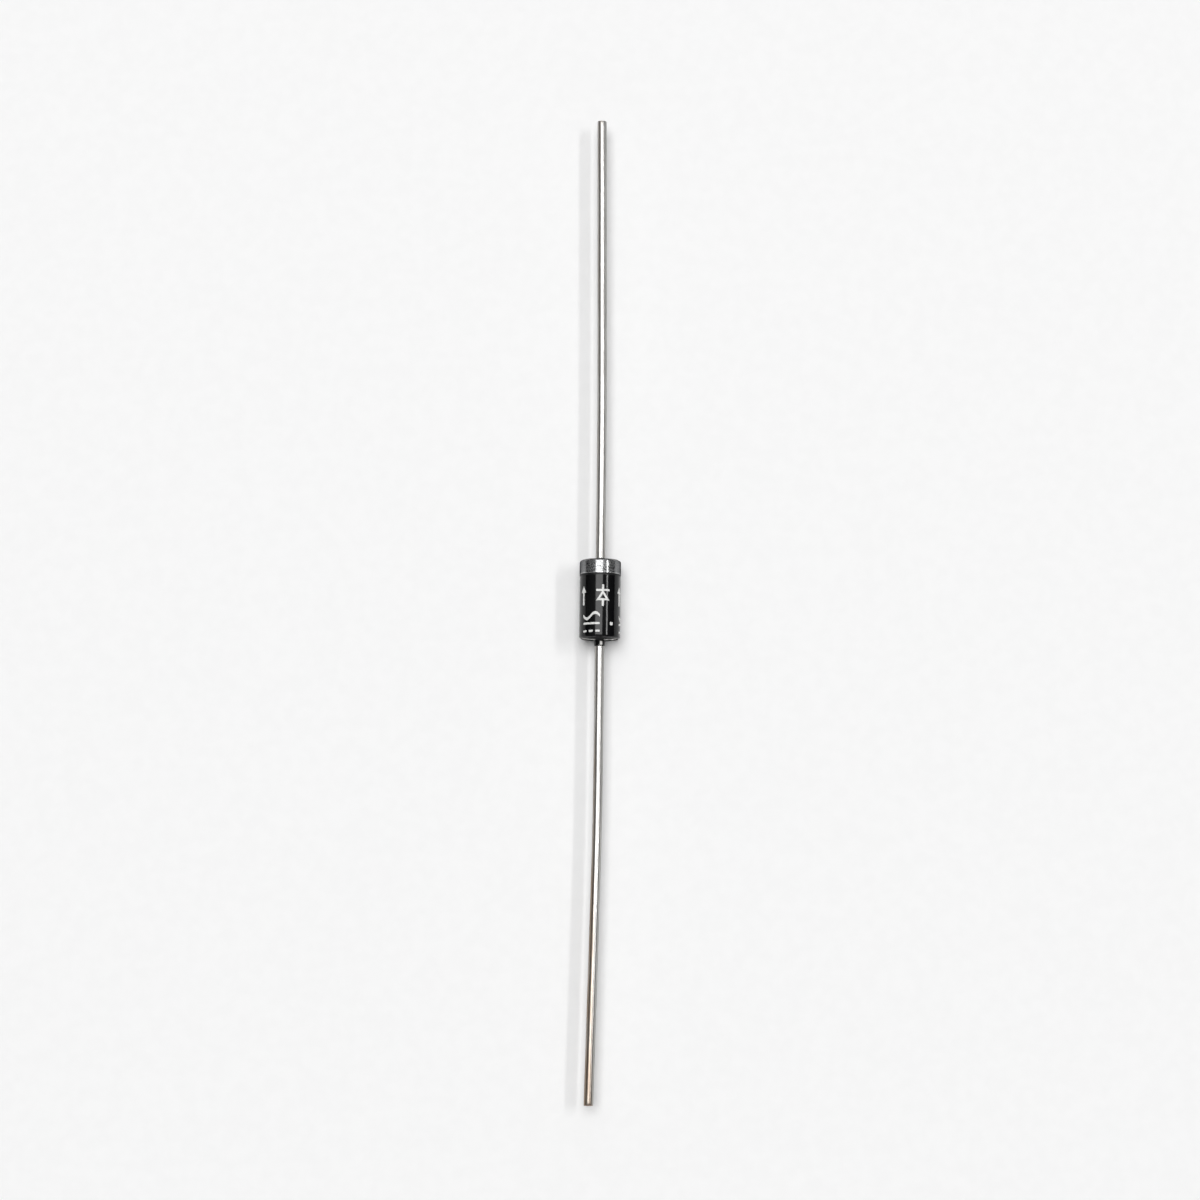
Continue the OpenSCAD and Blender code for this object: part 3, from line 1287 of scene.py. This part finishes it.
@dataclass
class PolarityMarks:
    """White marks in two rows, the same three times round the body.

    The first row holds diode symbols and arrows that point to the band. The second row holds the
    signs of alternating current turned into direct current, with a dot between them.

    Attributes:
        tree: The tree that repeats and wraps them.
        radius: The body's radius.
        line: Width of a line.
        ink: Greatest thickness of the ink.
        bed: How deep the ink goes into the body.
        repeats: How often the marks repeat round the body.
        first_middle: Middle of the first row along the axis.
        symbol_len: Length of the diode symbol.
        symbol_w: Width of the diode symbol.
        triangle_len: Length of its triangle.
        arrow_len: Length of the arrow.
        arrow_w: Width of its head.
        arrow_head: Length of its head.
        current_w: Width of the wave and the lines.
        wave_h: Height of the wave.
        wave_steps: Steps along the wave.
        wave_line: Distance from the wave's middle to each of its edges, as a share of the line.
        wave_middle: Middle of the wave along the axis.
        pitch: Distance between the second row's signs.
        dash_gap: Gap between two dashes.
        dot: Side of the dot.
        first_turn: Angle of the first row's first mark in degrees.
        second_turn: Angle of the second row's first mark in degrees.
        mesh_step: Pitch of the points inside a mark.
        rim_ink: Share of the thickness that the ink has at a mark's rim.
        pool_waves: Waves of the thickness in a millimetre.
        uneven: How far the points wander.
        waves: Waves of that wander in a millimetre.
    """

    tree: WrappedTree
    radius: float = 1.225
    line: float = 0.125
    ink: float = 0.0195
    bed: float = 0.007
    repeats: int = 3
    first_middle: float = 0.125
    symbol_len: float = 1.3
    symbol_w: float = 0.82
    triangle_len: float = 0.62
    arrow_len: float = 1.16
    arrow_w: float = 0.42
    arrow_head: float = 0.4
    current_w: float = 1.12
    wave_h: float = 0.36
    wave_steps: int = 32
    wave_line: float = 0.7
    wave_middle: float = -1.0975
    pitch: float = 0.46
    dash_gap: float = 0.16
    dot: float = 0.2
    first_turn: float = 8.0
    second_turn: float = -26.0
    mesh_step: float = 0.031
    rim_ink: float = 0.45
    pool_waves: float = 9.0
    uneven: float = 0.006
    waves: float = 11.0

    def strip(self, start: Point, end: Point) -> Flat:
        """Draws a straight line with softly broken corners.

        Args:
            start: The middle of its first end.
            end: The middle of its last end.

        Returns:
            The outline.
        """
        ahead = (Vector(end) - Vector(start)).normalized()
        aside = Vector((-ahead.y, ahead.x)) * self.line / 2
        cut = self.line * 0.18
        corners = []
        for base, sign in ((Vector(start), -1.0), (Vector(end), 1.0)):
            for turn in (-1.0, 1.0):
                corner = base + aside * turn * sign
                inward = -aside.normalized() * turn * sign * cut
                back = -ahead * sign * cut
                first, second = corner + back, corner + inward
                corners += [first, second] if turn < 0 else [second, first]
        return [(point.x, point.y) for point in corners]

    def diode_symbol(self) -> list[Flat]:
        """Draws a schematic diode that points to the band.

        Returns:
            The outlines.
        """
        w, h = self.symbol_w, self.triangle_len
        slant = math.hypot(w / 2, h)
        inner_w = w * (h - self.line) / h - 2 * self.line * slant / h
        inner_top = h / 2 - 2 * self.line * slant / w
        outer = [(-w / 2, -h / 2), (w / 2, -h / 2), (0.0, h / 2)]
        floor = self.line - h / 2
        inner = [(-inner_w / 2, floor), (inner_w / 2, floor), (0.0, inner_top)]
        sides = [[outer[i], outer[(i + 1) % 3], inner[(i + 1) % 3], inner[i]] for i in range(3)]
        stem = (self.symbol_len - h + self.line) / 2
        half = self.symbol_len / 2
        bar = self.strip((-w / 2, h / 2), (w / 2, h / 2))
        front = self.strip((0.0, half), (0.0, half - stem))
        return [*sides, bar, front, self.strip((0.0, -half), (0.0, stem - half))]

    def arrow(self) -> list[Flat]:
        """Draws an arrow that points to the band.

        Returns:
            The outlines.
        """
        top, half = self.arrow_len / 2, self.arrow_w / 2
        neck = top - self.arrow_head
        head = [(0.0, top), (-half, neck), (half, neck)]
        return [self.strip((0.0, -top), (0.0, top - self.arrow_head / 2)), head]

    def wave_edge(self, side: float) -> Flat:
        """Draws one edge of the wave's line.

        Args:
            side: 1 for the upper edge and -1 for the lower one.

        Returns:
            The edge's points.
        """
        places = [self.current_w * (i / self.wave_steps - 0.5) for i in range(self.wave_steps + 1)]
        swing = self.wave_h / 2
        drop = self.line * self.wave_line * side
        return [(x, swing * math.sin(TAU * x / self.current_w) + drop) for x in places]

    def wave(self) -> list[Flat]:
        """Returns the outline of one full wave."""
        return [[*self.wave_edge(-1.0), *reversed(self.wave_edge(1.0))]]

    def level(self, width: float, count: int) -> list[Flat]:
        """Draws a level line, whole or in dashes.

        Args:
            width: The line's length.
            count: The number of dashes.

        Returns:
            The outlines.
        """
        dash = (width - (count - 1) * self.dash_gap) / count
        starts = [-width / 2 + i * (dash + self.dash_gap) for i in range(count)]
        return [self.strip((x, 0.0), (x + dash, 0.0)) for x in starts]

    def square(self) -> list[Flat]:
        """Draws the dot, a square with broken corners.

        Returns:
            The outline.
        """
        half, cut = self.dot / 2, self.dot * 0.12
        return [[
            (cut - half, -half), (half - cut, -half), (half, cut - half), (half, half - cut),
            (half - cut, half), (cut - half, half), (-half, half - cut), (-half, cut - half),
        ]]  # fmt: skip

    def sheet(self) -> bpy.types.Mesh:
        """Makes one turn's marks as thin flat solids, ready to be repeated and wrapped.

        Returns:
            The mesh.
        """
        between = 180.0 / self.repeats
        line_y = self.wave_middle - self.pitch
        marks = [
            (self.diode_symbol(), self.first_middle, self.first_turn),
            (self.arrow(), self.first_middle, self.first_turn + between),
            (self.wave(), self.wave_middle, self.second_turn),
            (self.level(self.current_w, 1), line_y, self.second_turn),
            (self.level(self.current_w, 3), line_y - self.pitch, self.second_turn),
            (self.square(), line_y, self.second_turn + between),
        ]
        work = bmesh.new()
        for outlines, along, turn in marks:
            self.lay(work, outlines, along, math.radians(turn) * self.radius)
        mesh = bpy.data.meshes.new("marks")
        work.to_mesh(mesh)
        work.free()
        return mesh

    def drift(self, x: float, y: float, layer: float) -> float:
        """Returns how far a point of a mark wanders, from one layer of the noise."""
        return noise.noise(Vector((x * self.waves, y * self.waves, layer))) * self.uneven

    def triangles(self, outlines: list[Flat]) -> tuple[list[Vector], list[list[int]]]:
        """Fills overlapping outlines with small triangles.

        Args:
            outlines: The mark's outlines.

        Returns:
            The points, and the triangles as numbers of points.
        """
        points: list[Vector] = []
        faces: list[list[int]] = []
        for outline in outlines:
            faces.append(list(range(len(points), len(points) + len(outline))))
            points += [Vector(point) for point in outline]
        reach = max(max(abs(p.x), abs(p.y)) for p in points) + self.mesh_step
        count = math.ceil(reach / self.mesh_step)
        grid = [i * self.mesh_step for i in range(-count, count + 1)]
        points += [Vector((x, y)) for x in grid for y in grid]
        found = delaunay_2d_cdt(points, [], faces, 0, 1e-5)
        places, shapes, sources = found[0], found[2], found[5]
        return places, [shape for shape, source in zip(shapes, sources) if source]

    def lay(self, work: bmesh.types.BMesh, outlines: list[Flat], along: float, across: float) -> None:
        """Adds one mark as a flat solid of small faces with rounded upper edges.

        Args:
            work: The mesh to add to.
            outlines: The mark's overlapping outlines.
            along: Its place along the wire axis.
            across: Its place round the body.
        """
        places, kept = self.triangles(outlines)
        edges = [pair for tri in kept for pair in zip(tri, [*tri[1:], tri[0]])]
        known = set(edges)
        # No neighbour runs along a rim edge the other way.
        rim = [(a, b) for a, b in edges if (b, a) not in known]
        rim_points = {i for pair in rim for i in pair}
        under, upper = {}, {}
        for i in sorted({i for tri in kept for i in tri}):
            spot = Vector((places[i].x, places[i].y, 0.0))
            thick = self.ink * (0.88 + 0.12 * noise.noise(spot * self.pool_waves))
            top = thick * (self.rim_ink if i in rim_points else 1.0)
            x, y = spot.x + across, spot.y + along
            x, y = (x + self.drift(x, y, 3.7)) * MM, (y + self.drift(x, y, 9.2)) * MM
            under[i] = work.verts.new((x, y, -self.bed * MM))
            upper[i] = work.verts.new((x, y, top * MM))
        for tri in kept:
            work.faces.new([upper[i] for i in tri])
            work.faces.new([under[i] for i in reversed(tri)])
        for a, b in rim:
            work.faces.new((under[a], under[b], upper[b], upper[a]))

    def build(self) -> bpy.types.Object:
        """Builds all the marks.

        Returns:
            The finished piece.
        """
        piece = self.tree.apply(
            "printed_marks",
            self.sheet(),
            Repeats=self.repeats,
            Body_Radius=self.radius * MM,
            Material=WhiteMarkInk().material(),
        )
        settle(piece)
        return piece


@dataclass
class Junction(TurnedPiece):
    """What the resin hides: the silicon die, its solder and the silicone bead round them.

    Attributes:
        die_side: Side of the square die.
        die_t: Thickness of the die.
        die_break: Width of the die's broken edges.
        solder_r: Radius of a solder disc.
        solder_t: Thickness of a solder disc.
        bead_r: Radius of the bead.
        bead_half: Half the bead's length.
        bead_soft: Rounding of the bead.
    """

    die_side: float = 1.05
    die_t: float = 0.26
    die_break: float = 0.012
    solder_r: float = 0.45
    solder_t: float = 0.05
    bead_r: float = 0.87
    bead_half: float = 0.38
    bead_soft: float = 0.22

    def die(self) -> bpy.types.Object:
        """Builds the sawn die, with broken edges.

        Returns:
            The finished piece.
        """
        work = bmesh.new()
        bmesh.ops.create_cube(work, size=1.0)
        for vertex in work.verts:
            vertex.co.x *= self.die_side * MM
            vertex.co.y *= self.die_t * MM
            vertex.co.z *= self.die_side * MM
        bmesh.ops.bevel(
            work, geom=work.edges[:], offset=self.die_break * MM, segments=2, affect="EDGES", profile=0.5
        )
        mesh = bpy.data.meshes.new("die")
        work.to_mesh(mesh)
        work.free()
        silicon = PlainGrain(
            "silicon", (0.13, 0.145, 0.2), (0.2, 0.22, 0.28), 22.0, (0.06, 0.16), 0.0006, metal=0.6
        )
        mesh.materials.append(silicon.material())
        piece = bpy.data.objects.new("sawn_die", mesh)
        bpy.context.scene.collection.objects.link(piece)
        settle(piece)
        return piece

    def solder(self, end: End) -> bpy.types.Object:
        """Builds the disc of solder between the die and a nail head.

        Args:
            end: The end of the body that the disc is nearer to.

        Returns:
            The finished piece.
        """
        low, high = self.die_t / 2, self.die_t / 2 + self.solder_t
        soft = self.solder_t / 2
        side = arc((self.solder_r - soft, low + soft), soft, -90, 90, 8)
        points = [(r, y * end.value) for r, y in [(0.0, low), *side, (0.0, high)]]
        name = end.name.lower()
        tin = PlainGrain(
            f"solder_{name}", (0.42, 0.42, 0.41), (0.66, 0.66, 0.65), 14.0, (0.3, 0.5), 0.003, metal=1.0
        )
        return self.turn(f"{name}_solder_disc", points, tin)

    def bead(self, wire: Wire) -> bpy.types.Object:
        """Builds the bead as a closed skin round the die, the solder and the nail heads.

        Args:
            wire: The leads' sizes.

        Returns:
            The finished piece.
        """
        soft = self.bead_soft
        shoulder = arc((self.bead_r - soft, self.bead_half - soft), soft, 0, 90, 8)
        corner = self.die_side / math.sqrt(2)
        half = [
            (self.bead_r, 0.0),
            *shoulder,
            (wire.head_radius, self.bead_half),
            (wire.head_radius, self.die_t / 2 + self.solder_t),
            (corner, self.die_t / 2),
            (corner, 0.0),
        ]
        silicone = PlainGrain(
            "silicone", (0.72, 0.7, 0.66), (0.86, 0.84, 0.8), 5.0, (0.35, 0.5), 0.004, milk=0.4
        )
        return self.turn("silicone_bead", spaced(closed_ring(half, half), 0.1), silicone)


# ---------------------------------------------------------------- the studio


@dataclass(frozen=True)
class Softbox:
    """A flat lamp that faces the object.

    Attributes:
        name: The lamp's name.
        place: Its middle in metres.
        width: Its width across the wire axis in metres.
        length: Its other side in metres.
        level: Its brightness, where 1 is white.
    """

    name: str
    place: tuple[float, float, float]
    width: float
    length: float
    level: float

    def build(self) -> None:
        """Adds the lamp."""
        data = bpy.data.lights.new(self.name, "AREA")
        data.shape = "RECTANGLE"
        data.size = self.width
        data.size_y = self.length
        data.energy = self.level * math.pi * self.width * self.length
        lamp = bpy.data.objects.new(self.name, data)
        back = Vector(self.place).normalized()
        along = Vector((0.0, 1.0, 0.0)) if abs(back.y) < 0.7 else Vector((0.0, 0.0, 1.0))
        across = along.cross(back).normalized()
        turn = Matrix((across, back.cross(across), back)).transposed()
        lamp.matrix_world = Matrix.Translation(self.place) @ turn.to_4x4()
        lamp.visible_camera = False
        bpy.context.scene.collection.objects.link(lamp)


@dataclass(frozen=True)
class Studio:
    """Pale floor, soft lamps and the camera.

    Attributes:
        floor_z: Height of the floor in millimetres.
        floor_radius: Radius of the floor in metres.
        sky_low: Light from near the horizon.
        sky_high: Light from straight above.
        roll: How far the camera is rolled, in degrees.
        elevation: How steeply it looks down, in degrees.
        distance: Its distance from the body in millimetres.
        lens: Its focal length in millimetres.
    """

    floor_z: float = -1.245
    floor_radius: float = 4.0
    sky_low: float = 0.03
    sky_high: float = 0.16
    roll: float = 0.65
    elevation: float = 82.0
    distance: float = 149.0
    lens: float = 74.4

    def lamps(self) -> tuple[Softbox, ...]:
        """Lists the lamps.

        Returns:
            The lamps, from the widest to the ones at the sides.
        """
        return (
            Softbox("wide_softbox", (-0.18, 0.42, 1.99), 1.42, 1.35, 5.2),
            Softbox("strip_softbox", (1.56, 0.36, 1.83), 0.2, 1.1, 16.0),
            Softbox("front_softbox", (0.0, -2.2, 1.0), 3.0, 0.9, 0.7),
            Softbox("back_softbox", (0.0, 2.3, 1.3), 3.0, 1.0, 1.2),
        )

    def build(self) -> None:
        """Builds the floor, the lamps, the world and the camera."""
        self.floor()
        for lamp in self.lamps():
            lamp.build()
        self.world()
        self.camera()

    def floor(self) -> None:
        """Lays a round pale floor under the body."""
        work = bmesh.new()
        bmesh.ops.create_circle(work, cap_ends=True, segments=96, radius=self.floor_radius)
        for vertex in work.verts:
            vertex.co.z = self.floor_z * MM
        mesh = bpy.data.meshes.new("floor")
        work.to_mesh(mesh)
        work.free()
        mesh.materials.append(PaperFloor().material())
        floor = bpy.data.objects.new("floor", mesh)
        bpy.context.scene.collection.objects.link(floor)

    def world(self) -> None:
        """Lights the scene a little from all round, less from near the horizon."""
        world = bpy.data.worlds.new("studio")
        world.use_nodes = True
        bpy.context.scene.world = world
        graph = Graph(world.node_tree)
        back = world.node_tree.nodes["Background"]
        back.inputs["Color"].default_value = (1.0, 1.0, 1.0, 1.0)
        _, _, up = graph.split(graph.add("ShaderNodeTexCoord").outputs["Generated"])
        graph.feed(back.inputs["Strength"], graph.ramp(up, (0.1, 0.9), (self.sky_low, self.sky_high)))

    def camera(self) -> None:
        """Looks down on the body, a little from the anode's side."""
        data = bpy.data.cameras.new("camera")
        data.lens = self.lens
        data.sensor_width = 36.0
        data.clip_start = 0.005
        data.clip_end = 20.0
        camera = bpy.data.objects.new("camera", data)
        tilt = math.radians(90.0 - self.elevation)
        away = self.distance * MM
        camera.location = (0.0, -away * math.sin(tilt), away * math.cos(tilt))
        turn = Matrix.Rotation(tilt, 3, "X") @ Matrix.Rotation(math.radians(self.roll), 3, "Z")
        camera.rotation_euler = turn.to_euler()
        bpy.context.scene.collection.objects.link(camera)
        bpy.context.scene.camera = camera


def corners(bounds: Sequence[Vector]) -> list[list[float]]:
    """Returns a box's two corners as plain lists."""
    return [list(corner) for corner in bounds]


def main() -> None:
    """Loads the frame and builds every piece."""
    logging.basicConfig(level=logging.INFO, format="%(name)s: %(message)s")
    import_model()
    bpy.context.scene.view_settings.view_transform = "Standard"
    turned = TurnedTree()
    wire = Wire()
    place(MouldedBody(turned).build(wire), "epoxy_body", "epoxy")
    place(CathodeBand(turned).build(), "cathode_band", "band_ink")
    place(PolarityMarks(WrappedTree()).build(), "polarity_marks", "mark_ink")
    place(WireLead(turned, end=End.CATHODE).build(wire), "cathode_lead", "tinned_wire")
    anode = WireLead(turned, end=End.ANODE, run=11.0, lean=0.021)
    place(anode.build(wire), "anode_lead", "tinned_wire")
    junction = Junction(turned)
    place(junction.die(), "silicon_die", "silicon")
    for end in End:
        place(junction.solder(end), f"{end.name.lower()}_solder", "solder")
    place(junction.bead(wire), "junction_bead", "silicone")
    Studio().build()


if __name__ == "__main__":
    main()
